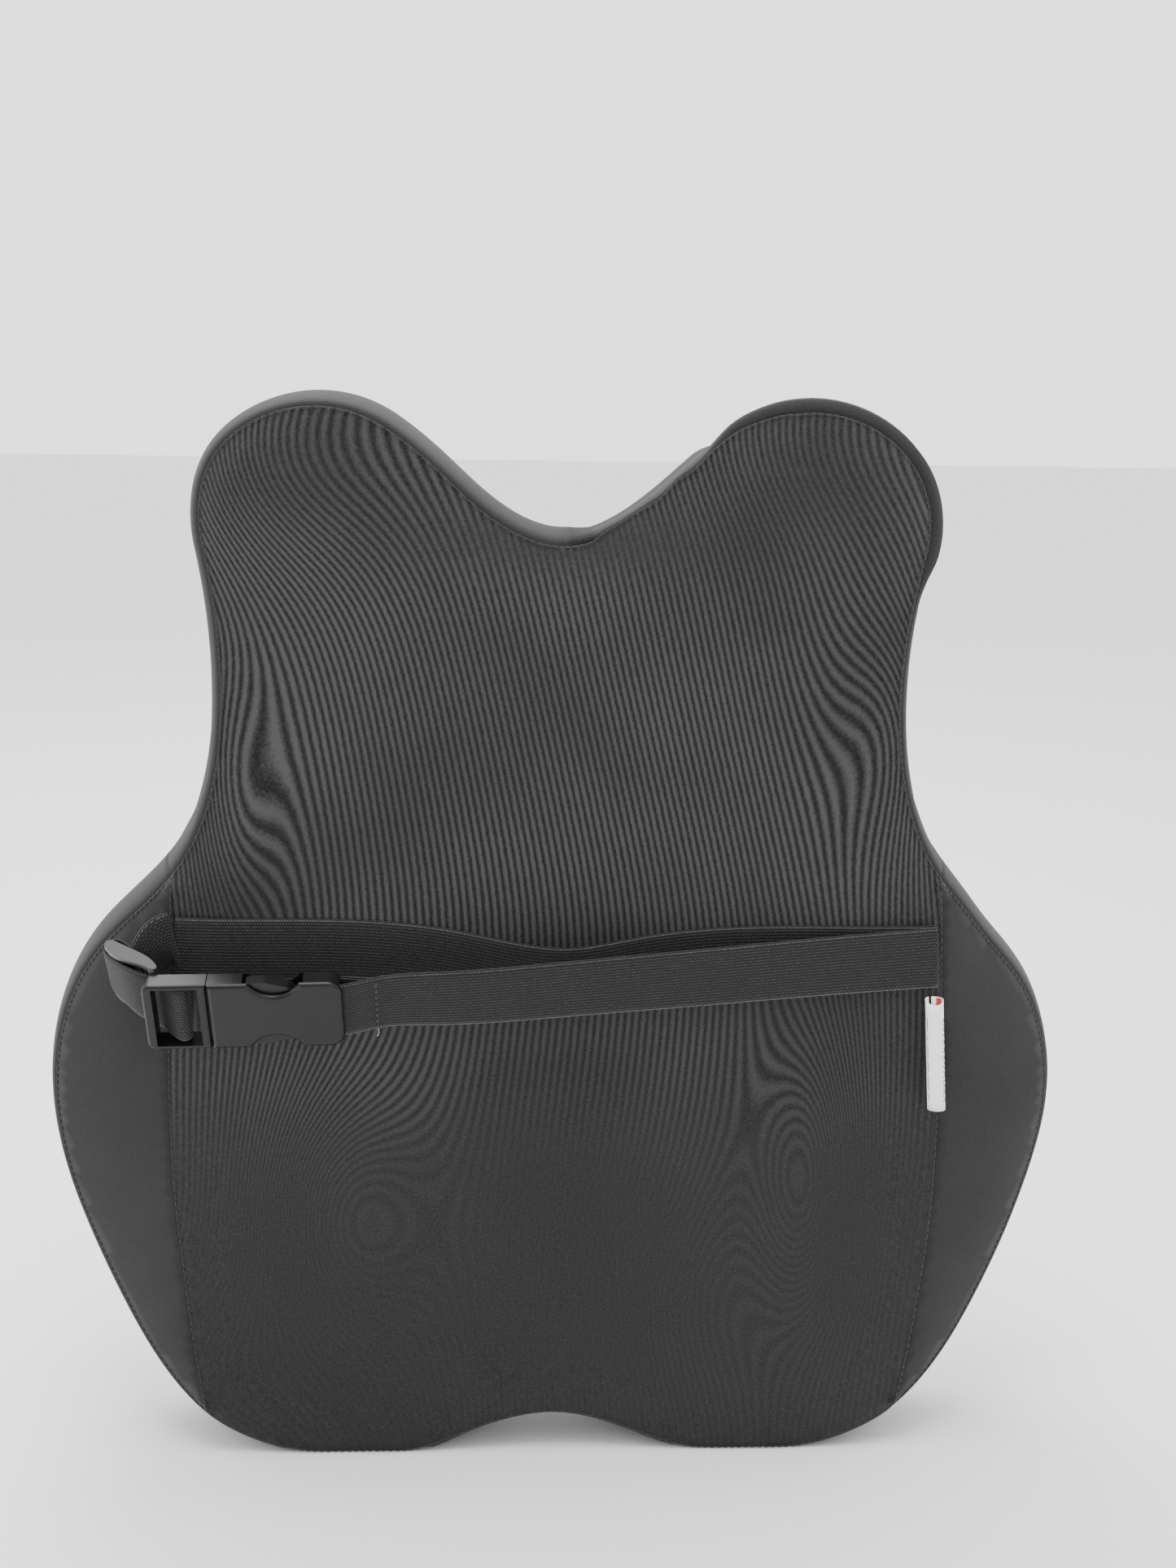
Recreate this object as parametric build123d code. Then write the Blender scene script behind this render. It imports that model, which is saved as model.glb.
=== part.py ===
"""Lumbar support cushion with wings, a removable zipped cover and an elastic strap with a side-release
buckle.  Frame: +X to the right seen from behind, +Y from the back panel towards the sitter, +Z up,
origin under the middle of the whole cushion.  Lengths are in millimetres, angles in degrees.
"""
import os
from math import cos, exp, radians, sin, tan

from build123d import *

# ---- driving dimensions ----------------------------------------------------------------------------
HEIGHT = 435.0                  # feet to the tops of the two upper lobes
HALF_BACK = 152.0               # half width of the flat back panel, seam to seam
HALF_WING = 208.0               # half width over the wings
WING_SLANT = 28.0               # the wings' backs turn forward by this much
LOBE_RADIUS = 45.0              # round top of each upper lobe
LOBE_X, LOBE_Z = 95.0, HEIGHT - LOBE_RADIUS
LOBE_START, LOBE_END = -12.0, 125.0
FOOT_X, FOOT_HALF = 81.0, 15.0  # flat under each lower lobe
NOTCH_TOP_Z, NOTCH_BOTTOM_Z = 383.0, 16.0
BASE_DEPTH = 56.0               # front to back where the front is plain
LUMBAR_RISE, LUMBAR_Z, LUMBAR_SPREAD = 24.0, 125.0, 100.0
RIDGE_RISE, RIDGE_X, RIDGE_SPREAD = 12.0, 80.0, 34.0
WING_RISE, WING_START = 0.30, 140.0
CLOTH = 1.5                     # cover cloth
LINER = 0.8                     # thin sack round the foam
SEAM_GAP = 0.15                 # between neighbouring panels
SLACK = 0.3                     # between liner and cover, and foam and liner
ZIP_SPACE = 3.2                 # the liner lies this far inside the outline, clear of the zip slider
WEB = 25.0                      # strap and band width
WEB_THICK = 1.2
BAND_THICK = 1.0
STRAP_Z = 219.4                 # middle of the right strap at its seam
BAND_Z = 222.8                  # middle of the band at its seams
BAND_DIP = 10.0                 # the slack band hangs this much lower in the middle
BUCKLE_TILT = 21.0              # the buckle's top edge leans out
MOUTH = Vector(-136.5, -20.0, 203.2)    # middle of the socket's mouth
TURN = Vector(-174.4, -2.0, 215.3)      # where the left strap doubles back
TURN_REACH = 4.1                # from there to the middle of the webbing on each side
ZIP_Y = 34.0                    # middle of the zip across the edge strip
ZIP_TAPE = 13.5                 # each half of the zip's tape
ZIP_GAP = 0.2                   # from the zip's middle line to each tape
COIL = 5.0                      # width of the coil of teeth
SLIDER_ANGLE = -2.0             # the zip slider's rest place round the right lobe
PULL_X, PULL_Z = -2.0, 4.7      # the pull's pin in the slider's own frame
CENTRE_Y = 34.9                 # middle of the whole depth, where the frame's origin goes


# ---- the cushion's shape -----------------------------------------------------------------------------
def front_y(x, z):
    """Depth of the front surface: lumbar bulge, a ridge each side of the spine, raised wings."""
    lumbar = LUMBAR_RISE * exp(-((z - LUMBAR_Z) / LUMBAR_SPREAD) ** 2)
    ridge = RIDGE_RISE * exp(-((abs(x) - RIDGE_X) / RIDGE_SPREAD) ** 2)
    wing = WING_RISE * max(0.0, abs(x) - WING_START)
    return BASE_DEPTH + lumbar + ridge + wing


def lobe_point(angle, radius=LOBE_RADIUS):
    return LOBE_X + radius * cos(radians(angle)), LOBE_Z + radius * sin(radians(angle))


def xz(x, z):
    return Vector(x, 0, z)


def direction(angle):
    return Vector(cos(radians(angle)), 0, sin(radians(angle)))


def half_outline():
    """Right half of the outline, from the upper notch round to the lower one."""
    upper, lower = lobe_point(LOBE_END), lobe_point(LOBE_START)
    rim = [xz(0, NOTCH_TOP_Z), xz(30, 394.5), xz(*upper)]
    side = [xz(*lower), xz(133.8, 325), xz(150.5, 256), xz(184, 219)]
    wing = [side[-1], xz(HALF_WING, 160), xz(196.5, 93), xz(171, 43), xz(145, 17.5),
            xz(FOOT_X + FOOT_HALF, 0)]
    wing_top = direction(-49)
    return [
        Edge.make_spline(rim, tangents=[direction(0), direction(LOBE_END - 90)]),
        Edge.make_three_point_arc(xz(*upper), xz(*lobe_point(60)), xz(*lower)),
        Edge.make_spline(side, tangents=[direction(LOBE_START - 90), wing_top]),
        Edge.make_spline(wing, tangents=[wing_top, direction(180)]),
        Edge.make_line(xz(FOOT_X + FOOT_HALF, 0), xz(FOOT_X - FOOT_HALF, 0)),
        Edge.make_spline([xz(FOOT_X - FOOT_HALF, 0), xz(0, NOTCH_BOTTOM_Z)],
                         tangents=[direction(180), direction(180)]),
    ]


def inset_edge(edge, inset):
    """The same edge moved towards the inside of the outline."""
    count = {GeomType.LINE: 2, GeomType.CIRCLE: 3}.get(edge.geom_type, 17)
    points = []
    for i in range(count):
        share = i / (count - 1)
        heading = edge % share
        points.append(edge @ share + Vector(heading.Z, 0, -heading.X) * inset)
    if count == 2:
        return Edge.make_line(*points)
    if count == 3:
        return Edge.make_three_point_arc(*points)
    return Edge.make_spline(points, tangents=[edge % 0, edge % 1])


def outline_face(inset=0.0):
    right = half_outline()
    if inset:
        right = [inset_edge(edge, inset) for edge in right]
    left = [edge.mirror(Plane.YZ) for edge in right]
    return Face(Wire(right + left))


def prism(inset=0.0):
    """The outline carried through the whole depth and beyond."""
    return Solid.extrude(outline_face(inset), Vector(0, 160, 0))


def front_cutter(inset=0.0):
    """Everything in front of the front surface moved back by inset."""
    xs = [-230 + 460 * i / 46 for i in range(47)]
    zs = [-20 + 480 * i / 24 for i in range(25)]
    grid = [[Vector(x, front_y(x, z) - inset, z) for z in zs] for x in xs]
    face = Face.make_surface_from_array_of_points(grid, tol=0.05, max_deg=3)
    return Solid.extrude(face, Vector(0, 200, 0))


def wing_wedge(side, inset=0.0):
    """Everything behind one wing's slanted back, moved forward by inset."""
    start, end = HALF_BACK, 260.0
    rise = (end - start) * tan(radians(WING_SLANT))
    corners = [(side * start, inset - 50), (side * start, inset), (side * end, inset + rise),
               (side * end, inset - 50)]
    face = Face(Wire.make_polygon([Vector(x, y, -50) for x, y in corners], close=True))
    return Solid.extrude(face, Vector(0, 0, 560))


def block(x0, x1, y0, y1, z0, z1):
    box = Box(x1 - x0, y1 - y0, z1 - z0)
    return Pos((x0 + x1) / 2, (y0 + y1) / 2, (z0 + z1) / 2) * box


def cushion(inset=0.0, edge_inset=None):
    """The whole body, shrunk by inset at front and back and by edge_inset round its outline."""
    body = prism(inset if edge_inset is None else edge_inset) - front_cutter(inset)
    for side in (-1, 1):
        body = body - wing_wedge(side, inset)
    return body - block(-300, 300, -1, inset, -50, 500) if inset else body


def main_solid(shape):
    return max(shape.solids(), key=lambda s: s.volume)


# ---- inside --------------------------------------------------------------------------------------------
def foam_and_liner():
    outer = cushion(CLOTH + SLACK, ZIP_SPACE)
    inner = cushion(CLOTH + SLACK + LINER, ZIP_SPACE + LINER)
    foam = cushion(CLOTH + 2 * SLACK + LINER, ZIP_SPACE + LINER + SLACK)
    return {"foam_core": main_solid(foam), "inner_liner": main_solid(outer - inner)}


# ---- cover ---------------------------------------------------------------------------------------------
def cover_panels():
    inside = prism(CLOTH + SEAM_GAP)
    skin = inside - front_cutter() - wing_wedge(-1) - wing_wedge(1)
    back_edge = HALF_BACK - SEAM_GAP
    panels = {
        "cover_front_panel": inside & (front_cutter(CLOTH) - front_cutter()),
        "cover_back_panel": inside & block(-back_edge, back_edge, 0, CLOTH, -50, 500),
    }
    for side, name in ((-1, "left"), (1, "right")):
        wing = (skin & wing_wedge(side, CLOTH)) - block(-HALF_BACK, HALF_BACK, -5, 200, -50, 500)
        panels[f"wing_back_{name}"] = wing
    return {name: main_solid(panel) for name, panel in panels.items()}


def edge_strips():
    """The strip that joins back and front all round, sewn from six lengths."""
    strip = cushion() - prism(CLOTH)
    wing_top, wing_foot = 249.0, 22.0
    strips = {}
    for side, name in ((-1, "left"), (1, "right")):
        x0, x1 = sorted((side * SEAM_GAP / 2, side * 300.0))
        upper = strip & block(x0, x1, -1, 200, wing_top + SEAM_GAP, 500)
        if side > 0:
            slot = 2 * (ZIP_GAP + ZIP_TAPE + SEAM_GAP)
            upper = upper - zip_sector(LOBE_RADIUS - 4, LOBE_RADIUS + 4, slot)
        strips[f"edge_strip_upper_{name}"] = upper
        strips[f"edge_strip_wing_{name}"] = strip & block(x0, x1, -1, 200, wing_foot + SEAM_GAP, wing_top)
    strips["edge_strip_bottom"] = strip & block(-300, 300, -1, 200, -1, wing_foot)
    return {name: main_solid(part) for name, part in strips.items()}


# ---- zip -----------------------------------------------------------------------------------------------
def zip_sector(r0, r1, width, start=LOBE_START, end=LOBE_END, y=ZIP_Y):
    """A length of ring round the right lobe's centre, as wide as width across the edge strip."""
    middle = (start + end) / 2
    edges = [
        Edge.make_three_point_arc(xz(*lobe_point(start, r1)), xz(*lobe_point(middle, r1)),
                                  xz(*lobe_point(end, r1))),
        Edge.make_line(xz(*lobe_point(end, r1)), xz(*lobe_point(end, r0))),
        Edge.make_three_point_arc(xz(*lobe_point(end, r0)), xz(*lobe_point(middle, r0)),
                                  xz(*lobe_point(start, r0))),
        Edge.make_line(xz(*lobe_point(start, r0)), xz(*lobe_point(start, r1))),
    ]
    ring = Solid.extrude(Face(Wire(edges)), Vector(0, width, 0))
    return Pos(0, y - width / 2, 0) * ring


def zip_frame(angle):
    """Frame on the lobe's rim: local x along the zip, local y across it, local z outwards."""
    x, z = lobe_point(angle)
    return Plane(origin=(x, ZIP_Y, z), x_dir=direction(angle - 90), z_dir=direction(angle)).location


def zipper():
    """Two tapes, two halves of the coil, end stops, and the slider with its pull."""
    tape_r = LOBE_RADIUS - 1.0
    coil_r0, coil_r1 = LOBE_RADIUS + 0.05, LOBE_RADIUS + 1.7
    coil_half = COIL / 2 - 0.25
    parts = {}
    for side, name in ((-1, "back"), (1, "front")):
        tape_y = ZIP_Y + side * (ZIP_GAP + ZIP_TAPE / 2)
        coil_y = ZIP_Y + side * (COIL - coil_half) / 2
        parts[f"zip_tape_{name}"] = zip_sector(tape_r, LOBE_RADIUS, ZIP_TAPE, y=tape_y)
        parts[f"zip_coil_{name}"] = zip_sector(coil_r0, coil_r1, coil_half,
                                               LOBE_START + 2, LOBE_END - 2, coil_y)
    stop_arc, stop_width, stop_rise = 1.6, COIL + 1.2, 0.4
    stops = [zip_sector(coil_r0, coil_r1 + stop_rise, stop_width, start, start + stop_arc)
             for start in (LOBE_START, LOBE_END - stop_arc - 0.2)]
    parts["zip_stops"] = Compound(children=stops)
    place = zip_frame(SLIDER_ANGLE)
    parts["zip_slider"] = place * slider_body() - slider_channel(tape_r, coil_r1) + place * slider_post()
    parts["zip_pull"] = place * (Pos(PULL_X, 0, PULL_Z) * pull_tab())
    return parts


def slider_body():
    """Top and bottom plates in one block, with the arched bridge that holds the pull."""
    length, width, height, lift = 11.0, 9.5, 6.4, 0.6
    bridge, bridge_width, post = 5.0, 2.0, 0.8
    body = Pos(0, 0, lift) * Box(length, width, height)
    body = fillet(body.edges().filter_by(Axis.Z), 2.0)
    body += Pos(PULL_X, 0, PULL_Z + 1.3) * Box(bridge, bridge_width, post)
    for side in (-1, 1):
        body += Pos(PULL_X + side * (bridge - post) / 2, 0, PULL_Z) * Box(post, bridge_width, 2.6)
    return body


def slider_post():
    """Thin post between the two plates, where the two halves of the coil part."""
    return Pos(0, 0, 0.35) * Box(2.2, 0.24, 3.9)


def slider_channel(tape_r, coil_r):
    """The room for tapes and coil inside the slider."""
    clear, span, width = 0.3, 30, 20
    start, end = SLIDER_ANGLE - span, SLIDER_ANGLE + span
    tapes = zip_sector(tape_r - clear, LOBE_RADIUS + clear, width, start, end)
    return tapes + zip_sector(LOBE_RADIUS - 0.5, coil_r + clear, COIL + 2 * clear, start, end)


def pull_tab():
    """Flat tab whose eye goes round the bridge; its pin lies at the origin."""
    length, width, thick, behind_pin = 18.6, 6.0, 1.0, 0.6
    tab = Pos(length / 2 - behind_pin, 0, 0) * Box(length, width, thick)
    tab = fillet(tab.edges().filter_by(Axis.Z).sort_by(Axis.X)[-2:], 2.4)
    tab -= Pos(2.0, 0, 0) * Box(2.8, width / 2, 2 * thick)
    hole_x, hole_radius = 15.0, 1.2
    return tab - Pos(hole_x, 0, 0) * Cylinder(hole_radius, 2 * thick)


# ---- buckle --------------------------------------------------------------------------------------------
def buckle_frame():
    """Local x from plug to socket, local y up, local z outwards from the cushion."""
    tilt = radians(BUCKLE_TILT)
    return Plane(origin=MOUTH, x_dir=(1, 0, 0.03), z_dir=(0, -cos(tilt), -sin(tilt)))


SOCKET_LENGTH, SOCKET_HALF, SOCKET_THICK = 52.0, 15.6, 10.0
CAVITY_HALF, CAVITY_THICK = 12.6, 6.0
WINDOW_START, WINDOW_END = 13.5, 37.0   # the side windows that the prongs' pads show through
BITE_RADIUS, BITE_A, BITE_OUT = 11.5, 25.5, 5.6     # round bite in each face, for the fingers
STRAP_MOUTH_A = 39.5            # where the strap's slot opens in the socket's back
SLOT_MARGIN = 0.4               # the strap's slot is this much wider than the cavity, each side
BAR_RADIUS = 1.8
BAR_SINK = 1.5                  # the bars' ends are let into the buckle's sides
SOCKET_BAR_A, SOCKET_BAR_C = 46.5, -0.5
PLUG_LENGTH, PLUG_HALF_THICK = 25.0, 4.4
PLUG_SLOT_START, PLUG_SLOT_END, PLUG_SLOT_HALF = -21.4, -3.6, 13.9
PLUG_BAR_A = -11.0
MOUTH_GAP = 0.4                 # between the plug's shoulder and the socket's mouth
TONGUE_END, TONGUE_HALF, TONGUE_HALF_THICK = 27.0, 1.9, 2.4
PRONG_START_A = 2.35            # just clear of the plug's front edge, so that the prongs can bend
PRONG_THICK = 5.0


def strap_bar():
    """Round bar across the buckle that webbing goes round."""
    return Rot(90, 0, 0) * Cylinder(BAR_RADIUS, 2 * (SOCKET_HALF - BAR_SINK))


def buckle_socket():
    """Hollow body with a mouth for the plug, a bite and a window each side, and a bar for the strap."""
    half, cavity, slot = SOCKET_THICK / 2, CAVITY_THICK / 2, CAVITY_HALF + SLOT_MARGIN
    front_wall = 2.0
    body = block(0, SOCKET_LENGTH, -SOCKET_HALF, SOCKET_HALF, -half, half)
    body = fillet(body.edges().filter_by(Axis.Z).sort_by(Axis.X)[-2:], 6.0)
    for side in (-1, 1):
        body -= Pos(BITE_A, side * (SOCKET_HALF + BITE_OUT), 0) * Cylinder(BITE_RADIUS, SOCKET_THICK + 1)
    body = fillet(body.faces().filter_by(Axis.Z).edges(), 2.0)
    body -= block(-1, WINDOW_END, -CAVITY_HALF, CAVITY_HALF, -cavity, cavity)
    body -= block(WINDOW_START, WINDOW_END, -SOCKET_HALF - 1, SOCKET_HALF + 1, -cavity, cavity)
    body -= block(STRAP_MOUTH_A, SOCKET_LENGTH + 1, -slot, slot, -half - 1, half - front_wall)
    return body + Pos(SOCKET_BAR_A, 0, SOCKET_BAR_C) * strap_bar()


def buckle_plug_frame():
    """Frame with the strap's bar, a shoulder that enters the mouth and a tongue down the middle."""
    shoulder, shoulder_half_thick, margin = 2.0, 2.6, 0.35
    outer = block(-PLUG_LENGTH, -MOUTH_GAP, -SOCKET_HALF, SOCKET_HALF, -PLUG_HALF_THICK, PLUG_HALF_THICK)
    outer = fillet(outer.edges().filter_by(Axis.Z).sort_by(Axis.X)[:2], 3.0)
    outer = fillet(outer.faces().filter_by(Axis.Z).edges(), 1.2)
    outer -= block(PLUG_SLOT_START, PLUG_SLOT_END, -PLUG_SLOT_HALF, PLUG_SLOT_HALF,
                   -PLUG_HALF_THICK - 1, PLUG_HALF_THICK + 1)
    outer += Pos(PLUG_BAR_A, 0, 0) * strap_bar()
    outer += block(-MOUTH_GAP - 0.2, shoulder, -CAVITY_HALF + margin, CAVITY_HALF - margin,
                   -shoulder_half_thick, shoulder_half_thick)
    return outer + block(shoulder, TONGUE_END, -TONGUE_HALF, TONGUE_HALF,
                         -TONGUE_HALF_THICK, TONGUE_HALF_THICK)


def buckle_prong(side):
    """A springy arm whose pad fills the socket's window; its root starts at the plug's shoulder."""
    root = [(PRONG_START_A, 7.4), (PRONG_START_A, 9.9)]
    pad = [(14.0, 11.0), (14.6, 14.6), (22.0, 15.2), (31.0, 12.6), (34.5, 9.8), (34.5, 8.4)]
    inner = [(28.0, 8.8), (12.0, 7.8)]
    corners = [Vector(a, side * b, -PRONG_THICK / 2) for a, b in root + pad + inner]
    face = Face(Wire.make_polygon(corners, close=True))
    prong = Solid.extrude(face, Vector(0, 0, PRONG_THICK))
    pad_edges = prong.edges().filter_by(Axis.Z).sort_by(Axis.Y)
    return fillet(pad_edges[-3:] if side > 0 else pad_edges[:3], 1.0)


ADJUSTER_LENGTH, ADJUSTER_THICK, ADJUSTER_WIDTH = 19.0, 2.8, 31.0
ADJUSTER_SIDE = 2.2             # width of each deep side, beside the webbing
ADJUSTER_SLOT, ADJUSTER_SLOT_X = 4.4, 4.4   # length of each slot, and how far its middle is from the plate's


def wavy_plate(profile, width):
    """Plate whose long section is given by (place along, middle's rise, thickness)."""
    top = Edge.make_spline([Vector(x, 0, rise + thick / 2) for x, rise, thick in profile])
    low = Edge.make_spline([Vector(x, 0, rise - thick / 2) for x, rise, thick in reversed(profile)])
    (first_x, first_rise, first_thick), (last_x, last_rise, last_thick) = profile[0], profile[-1]
    right = Edge.make_three_point_arc(top @ 1, Vector(last_x + last_thick / 2, 0, last_rise), low @ 0)
    left = Edge.make_three_point_arc(low @ 1, Vector(first_x - first_thick / 2, 0, first_rise), top @ 0)
    plate = Solid.extrude(Face(Wire([top, right, low, left])), Vector(0, width, 0))
    return Pos(0, -width / 2, 0) * plate


def adjuster():
    """Wavy three-bar slide with deep leaf-shaped sides: local x along the strap, local y across it."""
    half = ADJUSTER_LENGTH / 2
    bars = [(-half, 1.1, ADJUSTER_THICK), (-half / 2, 0.9, ADJUSTER_THICK), (0, 0, ADJUSTER_THICK),
            (half / 2, -0.8, ADJUSTER_THICK), (half, -1.0, ADJUSTER_THICK)]
    sides = [(-half - 0.6, 1.4, 4.6), (-half / 2, 1.2, 6.0), (0, 0.2, 5.8), (half / 2, -0.9, 4.8),
             (half + 1.2, -1.3, 2.4)]
    plate = wavy_plate(bars, ADJUSTER_WIDTH)
    for x in (-ADJUSTER_SLOT_X, ADJUSTER_SLOT_X):
        plate -= Pos(x, 0, 0) * Box(ADJUSTER_SLOT, WEB + 1, 20)
    for side in (-1, 1):
        middle = side * (ADJUSTER_WIDTH - ADJUSTER_SIDE) / 2
        plate += Pos(0, middle, 0) * wavy_plate(sides, ADJUSTER_SIDE)
    return plate


# ---- webbing -------------------------------------------------------------------------------------------
def ribbon(stations, width, thick):
    """A flat strap through stations of (middle, direction along it, direction across it)."""
    wires = []
    for middle, along, across in stations:
        along = Vector(*along).normalized()
        across = Vector(*across)
        across = (across - along * across.dot(along)).normalized()
        normal = along.cross(across)
        corners = [middle + across * (i * width / 2) + normal * (j * thick / 2)
                   for i, j in ((-1, -1), (1, -1), (1, 1), (-1, 1))]
        wires.append(Wire.make_polygon(corners, close=True))
    return Solid.make_loft(wires, ruled=True)


def local(plane, a, b, c):
    return plane.from_local_coords(Vector(a, b, c))


def turned(plane, angle):
    """A direction in the buckle's long section: 0 points at the socket, 90 outwards."""
    return plane.from_local_coords(Vector(cos(radians(angle)), 0, sin(radians(angle)))) - plane.origin


def bar_wrap(plane, a, c, start, end, steps=8):
    """Stations of webbing bent round a buckle bar."""
    radius = BAR_RADIUS + 0.25 + WEB_THICK / 2
    stations = []
    for i in range(steps + 1):
        angle = start + (end - start) * i / steps
        middle = local(plane, a + radius * cos(radians(angle)), 0, c + radius * sin(radians(angle)))
        stations.append((middle, turned(plane, angle + 90 * (1 if end > start else -1)), plane.y_dir))
    return stations


def right_strap():
    """From the right seam to the socket's bar, round it and back under itself to the stitching."""
    plane = buckle_frame()
    lean = plane.y_dir
    up = Vector(0, 0, 1)
    run = [Vector(150.5, -2.4, STRAP_Z), Vector(110, -6.0, 217.2), Vector(60, -10.5, 214.0),
           Vector(5, -15.5, 210.6), Vector(-50, -18.8, 207.6), Vector(-72, -20.0, 206.4)]
    stations = []
    for i, middle in enumerate(run):
        ahead, behind = run[min(i + 1, len(run) - 1)], run[max(i - 1, 0)]
        share = i / (len(run) - 1)
        stations.append((middle, ahead - behind, up * (1 - share) + lean * share))
    stations += bar_wrap(plane, SOCKET_BAR_A, SOCKET_BAR_C, 90, 270)
    for a, c in ((52.0, -3.2), (66.0, -1.6)):
        stations.append((local(plane, a, 0, c), plane.x_dir, lean))
    return ribbon(stations, WEB, WEB_THICK)


def turn_directions(plane):
    """Along and across the left strap where it doubles back on the slide."""
    along = (local(plane, PLUG_BAR_A, 0, 0) - TURN).normalized()
    across = Vector(-0.33, -0.32, 0.9)
    across = (across - along * across.dot(along)).normalized()
    return along, across


def adjuster_plane():
    along, across = turn_directions(buckle_frame())
    return Plane(origin=TURN + along * (ADJUSTER_LENGTH / 2), x_dir=along, z_dir=along.cross(across))


def left_strap():
    """From the left seam outwards, back round the slide, round the plug's bar and to the slide."""
    plane = buckle_frame()
    along, across = turn_directions(plane)
    out = along.cross(across)
    reach = TURN_REACH
    seam = Vector(-150.6, -0.8, BAND_Z + 2.6)
    stations = [(seam, Vector(-1, 0, 0), Vector(0, 0, 1)),
                (seam + Vector(-3.2, -1.0, -0.9), Vector(-1, -0.3, -0.2), Vector(-0.05, 0, 1)),
                (TURN + along * 8 - out * (reach + 0.6), -along, across)]
    steps = 8
    for i in range(steps + 1):
        angle = -90 - 180 * i / steps
        offset = along * (reach * cos(radians(angle))) + out * (reach * sin(radians(angle)))
        heading = along * sin(radians(angle)) - out * cos(radians(angle))
        stations.append((TURN + offset, heading, across))
    halfway = across * 0.5 + plane.y_dir * 0.5
    stations.append((TURN + along * 14 + out * (reach + 0.2), along, halfway))
    stations.append((local(plane, -20.8, 0.4, -5.9), turned(plane, 33), plane.y_dir))
    stations += bar_wrap(plane, PLUG_BAR_A, 0, 135, -52)
    stations.append((local(plane, -16.4, 0.4, -7.8), turned(plane, 218), plane.y_dir))
    return ribbon(stations, WEB, WEB_THICK)


def back_band():
    """Elastic band sewn into both side seams, lying slack on the back panel."""
    top, low = BAND_Z + WEB / 2, BAND_Z - WEB / 2
    end = HALF_BACK - 1.0
    drops = [(-end, 0.0), (-60, 2.0), (10, BAND_DIP), (70, 3.5), (end, 2.0)]
    upper = Edge.make_spline([xz(x, top - drop) for x, drop in drops])
    lower = Edge.make_spline([xz(x, low - drop) for x, drop in reversed(drops)])
    ends = [Edge.make_line(upper @ 1, lower @ 0), Edge.make_line(lower @ 1, upper @ 0)]
    band = Solid.extrude(Face(Wire([upper, ends[0], lower, ends[1]])), Vector(0, -BAND_THICK, 0))
    # the left strap is sewn into the same seam, so the band stops just short of it
    left_corner = block(-HALF_BACK - 1, -HALF_BACK + 3.2, -3, 0, low - 5, top + 5)
    return Pos(0, -0.35, 0) * (band - left_corner)


def care_label():
    """A folded strip standing out of the right seam under the strap."""
    length, reach, thick, opening = 47.0, 11.0, 0.3, 3.2
    outer = SlotOverall(reach, opening + 2 * thick)
    inner = SlotOverall(reach - 2 * thick, opening)
    loop = extrude(outer - inner, amount=length)
    slant = Plane(origin=(HALF_BACK + 0.5, -5.2, 156.0), x_dir=(0.86, -0.5, 0), z_dir=(-0.05, 0, 1))
    return slant.location * loop


def fold_stitches():
    """Row of stitches across the right strap, holding its fold shut."""
    plane = buckle_frame()
    count, spacing, a, c = 8, 3.0, 64.5, 1.15
    length, width, thick = 2.2, 0.6, 0.5
    rows = []
    for i in range(count):
        middle = local(plane, a, (i - (count - 1) / 2) * spacing, c)
        corner = Plane(origin=middle, x_dir=plane.x_dir, z_dir=plane.z_dir)
        rows.append(Solid.make_box(width, length, thick, corner))
    return Compound(children=rows)


# ---- all pieces ----------------------------------------------------------------------------------------
def all_parts():
    parts = foam_and_liner()
    parts.update(cover_panels())
    parts.update(edge_strips())
    parts.update(zipper())
    place = buckle_frame().location
    parts["buckle_socket"] = place * buckle_socket()
    parts["buckle_plug_frame"] = place * buckle_plug_frame()
    parts["buckle_prong_upper"] = place * buckle_prong(1)
    parts["buckle_prong_lower"] = place * buckle_prong(-1)
    parts["strap_adjuster"] = adjuster_plane().location * adjuster()
    parts["right_strap"] = right_strap()
    parts["left_strap"] = left_strap()
    parts["back_band"] = back_band()
    parts["care_label"] = care_label()
    parts["strap_stitches"] = fold_stitches()
    return parts


def main():
    os.makedirs("parts", exist_ok=True)
    shift = Pos(0, -CENTRE_Y, 0)
    for name, part in all_parts().items():
        export_step(shift * part, f"parts/{name}.step")


if __name__ == "__main__":
    main()
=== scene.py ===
"""Looks of a winged lumbar support cushion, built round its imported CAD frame.

Shapes are worked out in millimetres in the CAD part's own layout (y = 0 on the back panel) and are
turned into metres in the row frame by world().
"""
import math

import bmesh
import bpy
import numpy as np
from mathutils import Matrix, Vector
from mathutils.geometry import delaunay_2d_cdt

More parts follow.
